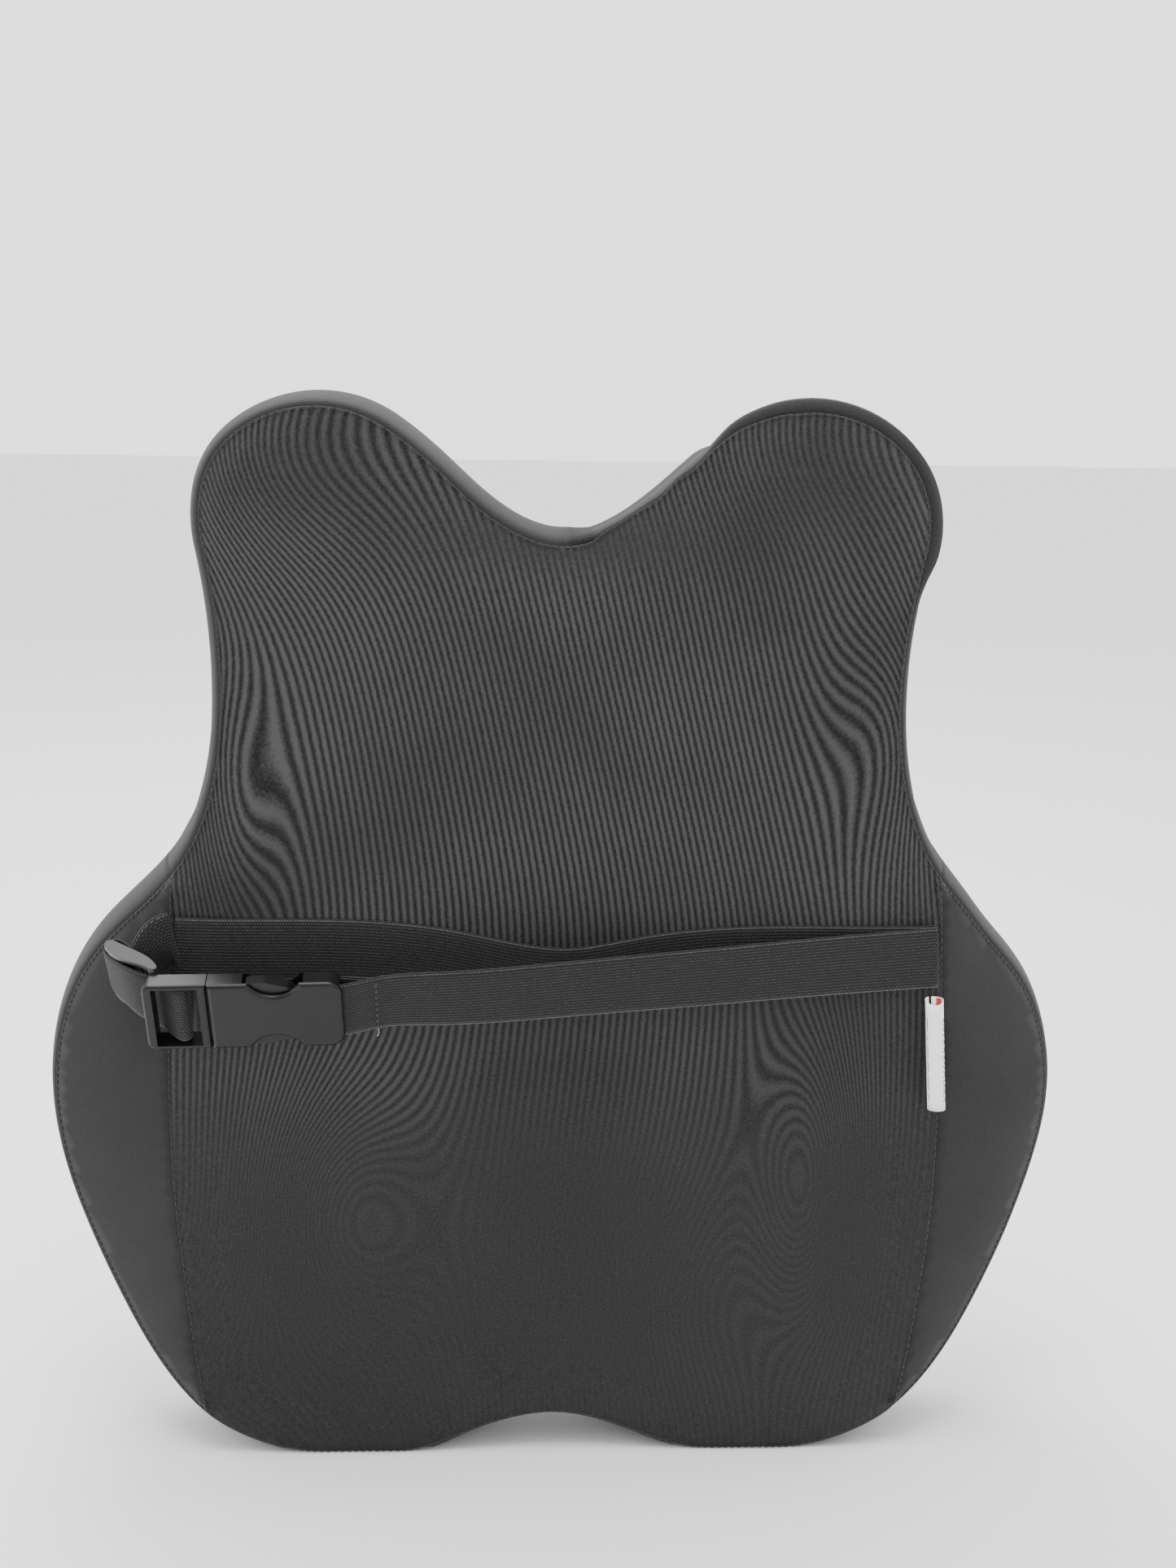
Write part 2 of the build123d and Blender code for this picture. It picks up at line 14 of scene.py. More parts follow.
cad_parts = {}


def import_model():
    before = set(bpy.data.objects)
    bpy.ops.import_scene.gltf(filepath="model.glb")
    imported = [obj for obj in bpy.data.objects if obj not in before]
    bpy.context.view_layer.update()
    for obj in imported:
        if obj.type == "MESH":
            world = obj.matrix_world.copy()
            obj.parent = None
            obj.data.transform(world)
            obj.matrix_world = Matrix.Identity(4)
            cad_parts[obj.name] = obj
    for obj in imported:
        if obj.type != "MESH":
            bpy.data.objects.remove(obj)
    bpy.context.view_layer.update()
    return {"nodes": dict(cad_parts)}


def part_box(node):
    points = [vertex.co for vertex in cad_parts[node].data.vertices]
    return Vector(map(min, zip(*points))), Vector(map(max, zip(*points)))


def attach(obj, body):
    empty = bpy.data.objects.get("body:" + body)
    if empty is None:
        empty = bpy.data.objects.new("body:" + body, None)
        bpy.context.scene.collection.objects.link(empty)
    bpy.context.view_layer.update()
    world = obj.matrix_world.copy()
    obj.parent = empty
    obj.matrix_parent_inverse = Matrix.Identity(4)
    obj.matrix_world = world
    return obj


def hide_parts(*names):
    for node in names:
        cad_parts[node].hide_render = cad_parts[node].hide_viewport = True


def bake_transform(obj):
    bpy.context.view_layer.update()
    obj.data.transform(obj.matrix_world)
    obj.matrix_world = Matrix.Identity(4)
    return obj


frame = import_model()

MM = 0.001
BACK_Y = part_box("cover_back_panel")[0][1]          # the back panel's plane
CUSHION = "cushion"                                # the body that everything sewn rides on
rng = np.random.default_rng(7)

# ---- the cushion's shape, in millimetres, as in the CAD part --------------------
HEIGHT = 435.0
HALF_WING = 208.0
WING_SLANT = math.tan(math.radians(28.0))
LOBE_RADIUS = 45.0
LOBE_X, LOBE_Z = 95.0, HEIGHT - LOBE_RADIUS
LOBE_START, LOBE_END = -12.0, 125.0
FOOT_X, FOOT_HALF = 81.0, 15.0
NOTCH_TOP_Z, NOTCH_BOTTOM_Z = 383.0, 16.0
SEAM_TOP, SEAM_FOOT = (151.3, 249.0), (145.0, 17.5)   # ends of the seam between back panel and wing
ZIP_Y, ZIP_HALF = 34.0, 13.7
WEB, WEB_THICK = 25.0, 1.2


def world(x, y, z):
    return Vector((x * MM, y * MM + BACK_Y, z * MM))


def heading(angle):
    return np.array([math.cos(math.radians(angle)), math.sin(math.radians(angle))])


def clamped_spline(points, start, end, step):
    """Smooth cubic curve through the points with given end directions, sampled about every step."""
    p = np.array(points, float)
    chord = np.linalg.norm(np.diff(p, axis=0), axis=1)
    n = len(p)
    system, right = np.zeros((n, n)), np.zeros((n, p.shape[1]))
    system[0, 0] = system[-1, -1] = 1.0
    right[0], right[-1] = start, end
    for i in range(1, n - 1):
        a, b = chord[i - 1], chord[i]
        system[i, i - 1:i + 2] = b, 2 * (a + b), a
        right[i] = 3 * (b * (p[i] - p[i - 1]) / a + a * (p[i + 1] - p[i]) / b)
    slopes = np.linalg.solve(system, right)
    curve = []
    for i in range(n - 1):
        count = max(2, round(chord[i] / step))
        for t in np.arange(count) / count:
            h = [2 * t**3 - 3 * t**2 + 1, t**3 - 2 * t**2 + t, -2 * t**3 + 3 * t**2, t**3 - t**2]
            curve.append(h[0] * p[i] + h[1] * chord[i] * slopes[i] + h[2] * p[i + 1]
                         + h[3] * chord[i] * slopes[i + 1])
    return curve


def half_outline(step):
    """Right half of the outline, from the upper notch to the lower one, without its last point."""
    def lobe(angle):
        return np.array([LOBE_X, LOBE_Z]) + LOBE_RADIUS * heading(angle)
    wing_top = heading(-49)
    side = [lobe(LOBE_START), (133.8, 325), (150.5, 256), (184, 219)]
    wing = [(184, 219), (HALF_WING, 160), (196.5, 93), (171, 43), (145, 17.5), (FOOT_X + FOOT_HALF, 0)]
    arc = round(math.radians(LOBE_END - LOBE_START) * LOBE_RADIUS / step)
    curve = clamped_spline([(0, NOTCH_TOP_Z), (30, 394.5), lobe(LOBE_END)], heading(0),
                           heading(LOBE_END - 90), step)
    curve += [lobe(LOBE_END + (LOBE_START - LOBE_END) * i / arc) for i in range(arc)]
    curve += clamped_spline(side, heading(LOBE_START - 90), wing_top, step)
    curve += clamped_spline(wing, wing_top, heading(180), step)
    curve += [np.array([FOOT_X + FOOT_HALF - 2 * FOOT_HALF * i / 8, 0.0]) for i in range(8)]
    curve += clamped_spline([(FOOT_X - FOOT_HALF, 0), (0, NOTCH_BOTTOM_Z)], heading(180), heading(180), step)
    return curve


def full_outline(step):
    right = half_outline(step)
    left = [np.array([-p[0], p[1]]) for p in reversed(right[1:])]
    return np.array(right + [np.array([0.0, NOTCH_BOTTOM_Z])] + left)


def seam_x(z):
    """Half width of the back panel at height z: the side seams bow out a little."""
    low, high = (SEAM_FOOT[0] - 155.6) / 113**2, (SEAM_TOP[0] - 155.6) / 119**2
    off = z - 130.0
    return 155.6 + np.where(off < 0, low, high) * off**2


def front_y(x, z):
    lumbar = 24.0 * np.exp(-((z - 125.0) / 100.0) ** 2)
    ridge = 12.0 * np.exp(-((np.abs(x) - 80.0) / 34.0) ** 2)
    wing = 0.30 * soft_ramp(np.abs(x) - 140.0, 6.0)
    return 56.0 + lumbar + ridge + wing


def soft_ramp(value, width):
    """max(0, value) with its corner rounded over width."""
    return width * np.logaddexp(0.0, value / width)


def back_y(x, z):
    return WING_SLANT * soft_ramp(np.abs(x) - seam_x(z), 4.0)


# ---- cover mesh --------------------
OUTLINE_STEP, BACK_STEP, FRONT_STEP, STRIP_ROWS = 3.0, 3.2, 5.0, 19


def distance_to(points, line, closed=True):
    """Distance from each point to a polyline."""
    a = np.array(line)
    b = np.roll(a, -1, axis=0) if closed else a[1:]
    a = a if closed else a[:-1]
    best = np.full(len(points), 1e9)
    for p, q in zip(a, b):
        d = q - p
        t = np.clip(((points - p) @ d) / max(d @ d, 1e-9), 0, 1)
        best = np.minimum(best, np.linalg.norm(points - p - t[:, None] * d, axis=1))
    return best


def inside(points, loop):
    """Which points lie inside a closed loop."""
    odd = np.zeros(len(points), bool)
    a, b = loop, np.roll(loop, -1, axis=0)
    for (x0, z0), (x1, z1) in zip(a, b):
        if z0 == z1:
            continue
        crossing = (points[:, 1] > min(z0, z1)) & (points[:, 1] <= max(z0, z1))
        odd ^= crossing & (points[:, 0] < x0 + (points[:, 1] - z0) * (x1 - x0) / (z1 - z0))
    return odd


def fill(loop, step):
    """Even triangles inside a closed loop: the points added, and faces over loop points then those."""
    low, high = loop.min(axis=0), loop.max(axis=0)
    rows = np.arange(low[1], high[1], step * 0.866)
    grid = np.array([(x + (i % 2) * step / 2, z) for i, z in enumerate(rows)
                     for x in np.arange(low[0], high[0], step)])
    grid = grid[inside(grid, loop)]
    grid = grid[distance_to(grid, loop) > 0.62 * step]
    points = [Vector(p) for p in np.vstack([loop, grid])]
    _, _, faces, origin, _, _ = delaunay_2d_cdt(points, [], [list(range(len(loop)))], 1, 1e-4)
    return grid, [[origin[v][0] for v in face] for face in faces]


def beside_zip(x, z):
    """1 along the zip's arc on the right lobe's rim, falling to 0 past its ends."""
    angle = np.degrees(np.arctan2(z - LOBE_Z, x - LOBE_X))
    reach = np.hypot(x - LOBE_X, z - LOBE_Z)
    ramp = 24.0
    share = np.clip(np.minimum(angle - LOBE_START, LOBE_END - angle) / ramp + 1, 0, 1)
    ends = share * share * (3 - 2 * share)
    return ends * np.clip((reach - 30) / 8, 0, 1) * (x > 0)


class Cover:
    """The closed skin of the cushion: points, faces and the panel that each face belongs to."""

    def __init__(self):
        self.points, self.faces, self.panels = [], [], []
        outline = full_outline(OUTLINE_STEP)
        self.outline = outline
        self.count = len(outline)
        corner = [int(np.argmin(np.linalg.norm(outline - (side * p[0], p[1]), axis=1)))
                  for side, p in ((1, SEAM_TOP), (1, SEAM_FOOT), (-1, SEAM_FOOT), (-1, SEAM_TOP))]
        self.corner = corner
        back = self.ring(outline, lambda x, z: back_y(x, z) + 3.5)
        rounding = 7.0
        front = self.ring(outline, lambda x, z: front_y(x, z) - rounding)
        seams = [self.seam(outline[corner[0]], outline[corner[1]]),
                 self.seam(outline[corner[3]], outline[corner[2]])]
        self.seams = [back[corner[0]:corner[0] + 1] + seams[0] + [back[corner[1]]],
                      [back[corner[3]]] + seams[1] + [back[corner[2]]]]
        right_wing = back[corner[0]:corner[1] + 1] + seams[0][::-1]
        left_wing = back[corner[2]:corner[3] + 1] + seams[1]
        middle = (back[:corner[0] + 1] + seams[0] + back[corner[1]:corner[2] + 1]
                  + seams[1][::-1] + back[corner[3]:])
        self.panel(middle, BACK_STEP, "cover_back_panel", self.back_surface)
        self.panel(right_wing, BACK_STEP + 0.8, "wing_back_right", self.back_surface)
        self.panel(left_wing, BACK_STEP + 0.8, "wing_back_left", self.back_surface)
        self.panel(front, FRONT_STEP, "cover_front_panel", self.front_surface)
        self.strip(back, front)
        self.back, self.front = back, front

    def ring(self, outline, depth):
        start = len(self.points)
        self.points += [(x, float(depth(x, z)), z) for x, z in outline]
        return list(range(start, len(self.points)))

    def seam(self, top, foot):
        """Points down a side seam, between its two ends on the outline."""
        count = round((top[1] - foot[1]) / OUTLINE_STEP)
        start, side = len(self.points), math.copysign(1, top[0])
        for i in range(1, count):
            share = i / count
            z = top[1] + (foot[1] - top[1]) * share
            slip = (abs(top[0]) - seam_x(top[1])) * (1 - share) + (abs(foot[0]) - seam_x(foot[1])) * share
            x = side * (float(seam_x(z)) + float(slip))
            self.points.append((x, float(back_y(x, z)), z))
        return list(range(start, len(self.points)))

    def back_surface(self, flat):
        edge = distance_to(flat, self.outline)
        return back_y(flat[:, 0], flat[:, 1]) + 3.5 * np.exp(-((edge / 7.0) ** 1.3)) + 0.3

    def front_surface(self, flat):
        edge = distance_to(flat, self.outline)
        return front_y(flat[:, 0], flat[:, 1]) - 7.0 * np.exp(-((edge / 11.0) ** 1.3))

    def panel(self, loop, step, name, surface):
        flat = np.array([(self.points[i][0], self.points[i][2]) for i in loop])
        added, faces = fill(flat, step)
        start = len(self.points)
        self.points += [(x, y, z) for (x, z), y in zip(added, surface(added))]
        index = loop + list(range(start, len(self.points)))
        self.faces += [[index[v] for v in face] for face in faces]
        self.panels += [name] * len(faces)

    def strip(self, back, front):
        """The edge strip between the two rings, bulging outwards and flat under the feet."""
        rows = [back]
        tangent = np.roll(self.outline, -1, axis=0) - np.roll(self.outline, 1, axis=0)
        outward = np.stack([-tangent[:, 1], tangent[:, 0]], axis=1)
        outward /= np.linalg.norm(outward, axis=1)[:, None]
        self.outward = outward
        by_zip = beside_zip(self.outline[:, 0], self.outline[:, 1])
        for k in range(1, STRIP_ROWS):
            share = k / STRIP_ROWS
            full = 5.5 * math.sin(math.pi * share) ** 0.55
            row = []
            for i in range(self.count):
                y0, y1 = self.points[back[i]][1], self.points[front[i]][1]
                y = y0 + (y1 - y0) * share
                recessed = 5.0 * math.exp(-((y - 9.0) / 6.5) ** 2) + 0.6
                bulge = full + (recessed - full) * by_zip[i]
                x, z = self.outline[i] + outward[i] * bulge
                row.append(len(self.points))
                self.points.append((x, y, max(z, 0.0)))
            rows.append(row)
        rows.append(front)
        for low, high in zip(rows, rows[1:]):
            for i in range(self.count):
                j = (i + 1) % self.count
                self.faces.append([low[i], low[j], high[j], high[i]])
                self.panels.append(self.strip_name(i))

    def strip_name(self, i):
        a, b, c, d = self.corner
        if a <= i < b:
            return "edge_strip_wing_right"
        if b <= i < c:
            return "edge_strip_bottom"
        if c <= i < d:
            return "edge_strip_wing_left"
        return "edge_strip_upper_right" if i < a else "edge_strip_upper_left"


def new_mesh(name, points, faces):
    mesh = bpy.data.meshes.new(name)
    mesh.from_pydata([world(*p) for p in points], [], faces)
    mesh.validate()
    shape = bmesh.new()
    shape.from_mesh(mesh)
    bmesh.ops.recalc_face_normals(shape, faces=shape.faces)
    shape.to_mesh(mesh)
    shape.free()
    mesh.shade_smooth()
    piece = bpy.data.objects.new(name, mesh)
    bpy.context.scene.collection.objects.link(piece)
    return piece


def set_attribute(piece, name, values):
    """A number at each point, which the materials read."""
    attribute = piece.data.attributes.new(name, "FLOAT", "POINT")
    attribute.data.foreach_set("value", np.asarray(values, np.float32))


def inflate(cover, points):
    """Swells the cover under a little pressure, with its seams held, and returns the new points."""
    piece = new_mesh("cover_simulated", points, cover.faces)
    held = piece.vertex_groups.new(name="seams")
    seam_points = set(cover.back) | set(cover.front) | set(cover.seams[0]) | set(cover.seams[1])
    feet = {i for i, p in enumerate(points) if p[2] < 1.0}
    zip_band = {i for i, p in enumerate(points) if beside_zip(p[0], p[2]) > 0.5 and 15 < p[1] < 52}
    held.add(list(seam_points | feet | zip_band), 1.0, "REPLACE")
    cloth = piece.modifiers.new("swell", "CLOTH")
    cloth.settings.quality = 6
    cloth.settings.mass = 0.3
    cloth.settings.tension_stiffness = cloth.settings.compression_stiffness = 25
    cloth.settings.bending_stiffness = 0.8
    cloth.settings.use_pressure = True
    cloth.settings.uniform_pressure_force = 4.0
    cloth.settings.vertex_group_mass = "seams"
    cloth.settings.effector_weights.gravity = 0.0
    cloth.collision_settings.use_self_collision = False
    cloth.point_cache.frame_start, cloth.point_cache.frame_end = 1, 20
    for number in range(1, 21):
        bpy.context.scene.frame_set(number)
    shown = piece.evaluated_get(bpy.context.evaluated_depsgraph_get())
    swollen = np.empty(len(piece.data.vertices) * 3)
    shown.data.vertices.foreach_get("co", swollen)
    swollen = swollen.reshape(-1, 3) / MM
    swollen[:, 1] -= BACK_Y / MM
    bpy.context.scene.frame_set(1)
    bpy.data.objects.remove(piece)
    return swollen


SWELL_CAP = 3.5


def soften(cover):
    """The cover's points after swelling, with wrinkles, and kept clear of the straps and the floor."""
    points = np.array(cover.points, float)
    moved = points.copy()
    moved = inflate(cover, cover.points)
    change = moved - points
    change *= 1 - (beside_zip(points[:, 0], points[:, 2]) * np.clip((points[:, 1] - 12) / 6, 0, 1))[:, None]
    length = np.linalg.norm(change, axis=1)[:, None] + 1e-9
    points = points + change / length * SWELL_CAP * np.tanh(length / SWELL_CAP)
    points = lean(wrinkle(cover, points))
    flat_back = np.abs(points[:, 0]) < seam_x(points[:, 2]) + 2
    behind = flat_back & (points[:, 1] < 0.3)
    points[behind, 1] = 0.3 - 0.15 * np.tanh((0.3 - points[behind, 1]) / 0.15)
    points[:, 2] = np.maximum(points[:, 2], 0.0)
    return points


# creases pressed into the back near its lower edge: ends in the back's plane, depth and half width
CREASES = [((-32, 50), (-19, 24), 1.5, 3.4), ((-27, 41), (-17, 33), 0.7, 2.4),
           ((-75, 27), (-64, 19), 0.7, 2.6),
           ((-60, 24), (-50, 30), 0.5, 2.4), ((62, 88), (74, 60), 0.6, 5.0),
           ((-118, 215), (-128, 190), 0.5, 5.0)]


# the filled cover isn't quite even: middle, spread and shift of each soft lean in the back's plane
LEANS = [((138, 395), (40, 45), (3.2, 0.6)), ((190, 225), (24, 24), (-3.0, -1.6)),
         ((208, 150), (24, 34), (1.6, 0)),
         ((-180, 70), (34, 52), (2.6, 1.0)), ((-20, 5), (60, 16), (0, 2.6)),
         ((-134, 300), (14, 60), (0.8, 0)),
         ((-135, 415), (26, 24), (-1.4, 1.0)), ((-60, 405), (26, 26), (1.2, 1.0)),
         ((180, 60), (30, 34), (-1.2, 0.6))]


def lean(points):
    """Shifts parts of the cover sideways a little, the feet kept on the floor."""
    x, z = points[:, 0].copy(), points[:, 2].copy()
    held = beside_zip(x, z) * np.clip((points[:, 1] - 12) / 6, 0, 1)
    rise = np.tanh(z / 4.0) * (1 - held)
    for (cx, cz), (sx, sz), (dx, dz) in LEANS:
        share = np.exp(-((x - cx) / sx) ** 2 - ((z - cz) / sz) ** 2) * rise
        points[:, 0] += dx * share
        points[:, 2] += dz * share
    return points


def wrinkle(cover, points):
    flat = points[:, [0, 2]]
    on_back = points[:, 1] < back_y(flat[:, 0], flat[:, 1]) + 6
    depth = np.zeros(len(points))
    for start, end, deep, half in CREASES:
        start, end = np.array(start, float), np.array(end, float)
        run = end - start
        along = np.clip((flat - start) @ run / (run @ run), 0, 1)
        off = np.linalg.norm(flat - start - along[:, None] * run, axis=1)
        depth += deep * np.exp(-((off / half) ** 2)) * np.sin(math.pi * (0.12 + 0.76 * along))
    sway = 0.35 * np.sin(flat[:, 0] / 19 + 1.3 * np.sin(flat[:, 1] / 37)) * np.sin(flat[:, 1] / 23 + 0.8)
    points[:, 1] += np.where(on_back, depth + 0.35 + sway, 0)
    points += pucker(cover, points)
    return points


def pucker(cover, points):
    """The notch's right flank is gathered: the panel's edge rides up there in short waves."""
    shift = np.zeros_like(points)
    x, y, z = points.T
    flank = (np.clip((x - 10) / 6, 0, 1) * np.clip((88 - x) / 20, 0, 1) * (z > 370)
             * np.exp(-np.maximum(y, 0) / 9.0))
    edge = np.exp(-distance_to(points[:, [0, 2]], cover.outline) / 5.0)
    wave = 0.5 + 0.5 * np.sin(x / 3.1 + np.sin(x / 7.1) * 1.4)
    rise = flank * edge * (3.2 + 1.6 * wave)
    behind = (np.clip((x - 2) / 8, 0, 1) * np.clip((88 - x) / 20, 0, 1) * (z > 370)
              * np.clip((y - 9) / 12, 0, 1))
    rise = rise - 3.6 * behind * np.exp(-distance_to(points[:, [0, 2]], cover.outline) / 9.0)
    shift[:, 0] = -0.45 * rise
    shift[:, 2] = 0.85 * rise
    shift[:, 1] = -0.6 * flank * edge * np.cos(x / 2.9)
    return shift


def rib_coordinate(points):
    """Distance across the ribs: they lean to the right going down, and eddy where the knit is stretched."""
    x, z = points[:, 0], points[:, 2]
    lean_share = 1 / (1 + np.exp(-(z - 225) / 22))
    ribs = x + 0.17 * (z - 225) * lean_share + 5 * np.sin(z / 60 + x / 90 + 0.5)
    eddies = [(-88, 105, 34, 52, 52), (104, 118, 20, 58, -46), (-128, 285, 18, 50, 20),
              (130, 310, 24, 50, -24),
              (-150, 35, 46, 46, 40), (-112, 415, 52, 44, 34), (96, 425, 60, 34, 16), (60, 70, 40, 46, 16)]
    for cx, cz, sx, sz, strength in eddies:
        ribs = ribs + strength * np.exp(-((x - cx) / sx) ** 2 - ((z - cz) / sz) ** 2)
    return ribs


def rib_show_and_painted_light(points):
    """How strongly the ribs show: clear over the upper half, faint towards the lower edge. The ribbed
    material also adds it to the colour as painted light: the upper half painted lighter, the lower part
    painted in shade.
    """
    x, z = points[:, 0], points[:, 2]
    clear = 0.16 + 0.84 / (1 + np.exp(-(z - 190) / 22))
    clear += 0.34 * np.exp(-((z - 170) / 26) ** 2)
    smooth_lobes = np.exp(-((np.abs(x) - 100) / 34) ** 2 - ((z - 408) / 26) ** 2)
    plain_middle = np.exp(-((x - 5) / 38) ** 2 - ((z - 85) / 55) ** 2)
    rim = np.exp(-(((x - 3) / 55) ** 2 + ((z - 386) / 14) ** 2))
    return np.clip(clear * (1 - 0.45 * smooth_lobes) * (1 - 0.8 * plain_middle) * (1 - 0.85 * rim), 0.05, 1)


def split_cover(cover, points):
    """One shell per sewn panel, each 1.2 mm thick."""
    shells = {}
    names = sorted(set(cover.panels))
    ribs = rib_coordinate(points)
    clarity_and_painted_light = rib_show_and_painted_light(points)
    for name in names:
        faces = [f for f, panel in zip(cover.faces, cover.panels) if panel == name]
        if name == "edge_strip_upper_right":
            slot = [f for f in faces if in_zip_slot(points[f].mean(axis=0))]
            faces = [f for f in faces if not in_zip_slot(points[f].mean(axis=0))]
            for half, keep in (("back", -1), ("front", 1)):
                tape = [f for f in slot if keep * (points[f].mean(axis=0)[1] - ZIP_Y) > 0]
                shells["zip_tape_" + half] = shell_of("zip_tape_" + half, points, tape, ribs, clarity_and_painted_light)
        shells[name] = shell_of(name, points, faces, ribs, clarity_and_painted_light)
    return shells


def shell_of(node, points, faces, ribs, clarity_and_painted_light):
    """One panel's faces as a piece of cloth that stands for its CAD node."""
    used = sorted({v for f in faces for v in f})
    index = {v: i for i, v in enumerate(used)}
    shell = new_mesh(node + "_cloth", points[used], [[index[v] for v in f] for f in faces])
    orient(shell)
    set_attribute(shell, "ribs", ribs[used])
    # the ribs' strength, which the ribbed material also uses as painted light over the upper half
    set_attribute(shell, "clarity_and_painted_light", clarity_and_painted_light[used])
    # painted shade: marks the tuck right of the notch's middle seam, which the cover material darkens
    set_attribute(shell, "shade", painted_tuck_shade(points[used]))
    thick = shell.modifiers.new("cloth", "SOLIDIFY")
    thick.thickness, thick.offset = 1.2 * MM, -1.0
    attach(shell, CUSHION)
    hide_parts(node)
    return shell


def painted_tuck_shade(points):
    """Painted shade: 1 where the cloth lies in its tuck just right of the notch's middle seam, where the
    cover material darkens it.
    """
    x, y, z = points.T
    return ((x > 1.0) & (x < 12.0) & (y > 4.0) & (y < 40.0) & (z > 370)).astype(float)


def orient(shell):
    """Turns the shell's faces to look away from the cushion's middle."""
    middle = world(0, 36, 190)
    mesh = shell.data
    score = sum(p.normal.dot(p.center - middle) * p.area for p in mesh.polygons)
    if score < 0:
        mesh.flip_normals()


def in_zip_slot(p):
    angle = math.degrees(math.atan2(p[2] - LOBE_Z, p[0] - LOBE_X))
    return LOBE_START < angle < LOBE_END and abs(p[1] - ZIP_Y) < ZIP_HALF


# ---- stitches --------------------
def capsules(name, runs, half_width=0.28):
    """Many short rounded stitches, each from a start to an end point."""
    points, faces = [], []
    ring = 6
    for start, end in runs:
        start, end = Vector(start), Vector(end)
        along = (end - start).normalized()
        side = along.orthogonal().normalized()
        other = along.cross(side)
        base = len(points)
        levels = [(0.0, 0.35), (0.15, 0.9), (0.5, 1.0), (0.85, 0.9), (1.0, 0.35)]
        for share, size in levels:
            for k in range(ring):
                turn = 2 * math.pi * k / ring
                offset = side * math.cos(turn) + other * math.sin(turn)
                points.append(start.lerp(end, share) + offset * half_width * size)
        for level in range(len(levels) - 1):
            for k in range(ring):
                a, b = base + level * ring + k, base + level * ring + (k + 1) % ring
                faces.append([a, b, b + ring, a + ring])
        faces.append([base + k for k in reversed(range(ring))])
        top = base + (len(levels) - 1) * ring
        faces.append([top + k for k in range(ring)])
    return new_mesh(name, [tuple(p) for p in points], faces)


def stitch_line(points, pitch=3.3, length=2.4, lift=(0, -0.15, 0)):
    """Start and end of each stitch along a line of points."""
    line = np.array(points, float) + np.array(lift)
    reach = np.concatenate([[0], np.cumsum(np.linalg.norm(np.diff(line, axis=0), axis=1))])
    runs = []
    for at in np.arange(0, reach[-1] - length, pitch):
        ends = [[np.interp(s, reach, line[:, k]) for k in range(3)] for s in (at, at + length)]
        runs.append(ends)
    return runs


def seam_stitches(cover, points):
    ring = points[cover.back].copy()
    ring[:, [0, 2]] -= cover.outward * 0.3
    ring[:, 1] -= 0.5
    runs = stitch_line(np.vstack([ring, ring[:1]]), pitch=2.9, length=2.4)
    for seam in cover.seams:
        runs += stitch_line(points[seam], lift=(0, -0.05, 0))
    front = points[cover.front].copy()
    front[:, [0, 2]] -= cover.outward * 1.2
    runs += stitch_line(np.vstack([front, front[:1]]), lift=(0, 0.5, 0))
    thread = capsules("seam_stitches", runs, half_width=0.34)
    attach(thread, CUSHION)
    return thread


# ---- buckle and strap layout, as in the CAD part --------------------
MOUTH = Vector((-136.5, -20.0, 203.2))
TILT = math.radians(21.0)
BUCKLE_OUT = Vector((0, -math.cos(TILT), -math.sin(TILT)))
BUCKLE_ALONG = Vector((1, 0, 0.03)).normalized()
BUCKLE_UP = BUCKLE_OUT.cross(BUCKLE_ALONG).normalized()
SOCKET_BAR, PLUG_BAR = (46.5, -0.5), (-11.0, 0.0)
BAR_RADIUS = 1.8
TURN = Vector((-174.4, -2.0, 215.3))
REACH = 4.1
STRAP_Z, BAND_Z = 219.4, 222.8


def in_buckle(a, b, c):
    return MOUTH + BUCKLE_ALONG * a + BUCKLE_UP * b + BUCKLE_OUT * c


def ribbon(name, stations, material, thick=WEB_THICK, width=WEB, step=1.3):
    """Flat webbing through stations of (middle, direction across it)."""
    path = np.array([tuple(m) for m, _ in stations])
    first, last = path[1] - path[0], path[-1] - path[-2]
    curve = np.array(clamped_spline(path, first / np.linalg.norm(first), last / np.linalg.norm(last), step))
    curve = np.vstack([curve, path[-1:]])
    reach = np.concatenate([[0], np.cumsum(np.linalg.norm(np.diff(curve, axis=0), axis=1))])
    knots = [reach[int(np.argmin(np.linalg.norm(curve - p, axis=1)))] for p in path]
    knots = np.maximum.accumulate(knots)
    across = np.stack([np.interp(reach, knots, [Vector(a).normalized()[k] for _, a in stations])
                       for k in range(3)], 1)
    along = np.gradient(curve, axis=0)
    along /= np.linalg.norm(along, axis=1)[:, None]
    across -= along * (across * along).sum(axis=1)[:, None]
    across /= np.linalg.norm(across, axis=1)[:, None]
    normal = np.cross(along, across)
    columns = 13
    ring = [(-1 + 2 * i / (columns - 1), 1) for i in range(columns)]
    ring += [(1 - 2 * i / (columns - 1), -1) for i in range(columns)]
    points, faces, side, length = [], [], [], []
    for k in range(len(curve)):
        for u, s in ring:
            edge = abs(u) ** 10
            half = thick / 2 * (1 - 0.55 * edge)
            points.append(curve[k] + across[k] * u * width / 2 + normal[k] * s * half)
            side.append(u)
            length.append(reach[k])
    size = len(ring)
    for k in range(len(curve) - 1):
        for i in range(size):
            j = (i + 1) % size
            faces.append([k * size + i, k * size + j, (k + 1) * size + j, (k + 1) * size + i])
    faces.append(list(range(size)))
    faces.append([(len(curve) - 1) * size + i for i in reversed(range(size))])
    piece = new_mesh(name, points, faces)
    set_attribute(piece, "across", side)
    set_attribute(piece, "along", length)
    piece.data.materials.append(material)
    return piece


def bar_wrap(bar, start, end, steps=8):
    """Stations of webbing bent round a buckle bar, by angle from the plug-to-socket direction."""
    radius = BAR_RADIUS + 0.25 + WEB_THICK / 2
    stations = []
    for i in range(steps + 1):
        angle = math.radians(start + (end - start) * i / steps)
        middle = in_buckle(bar[0] + radius * math.cos(angle), 0, bar[1] + radius * math.sin(angle))
        stations.append((middle, BUCKLE_UP))
    return stations


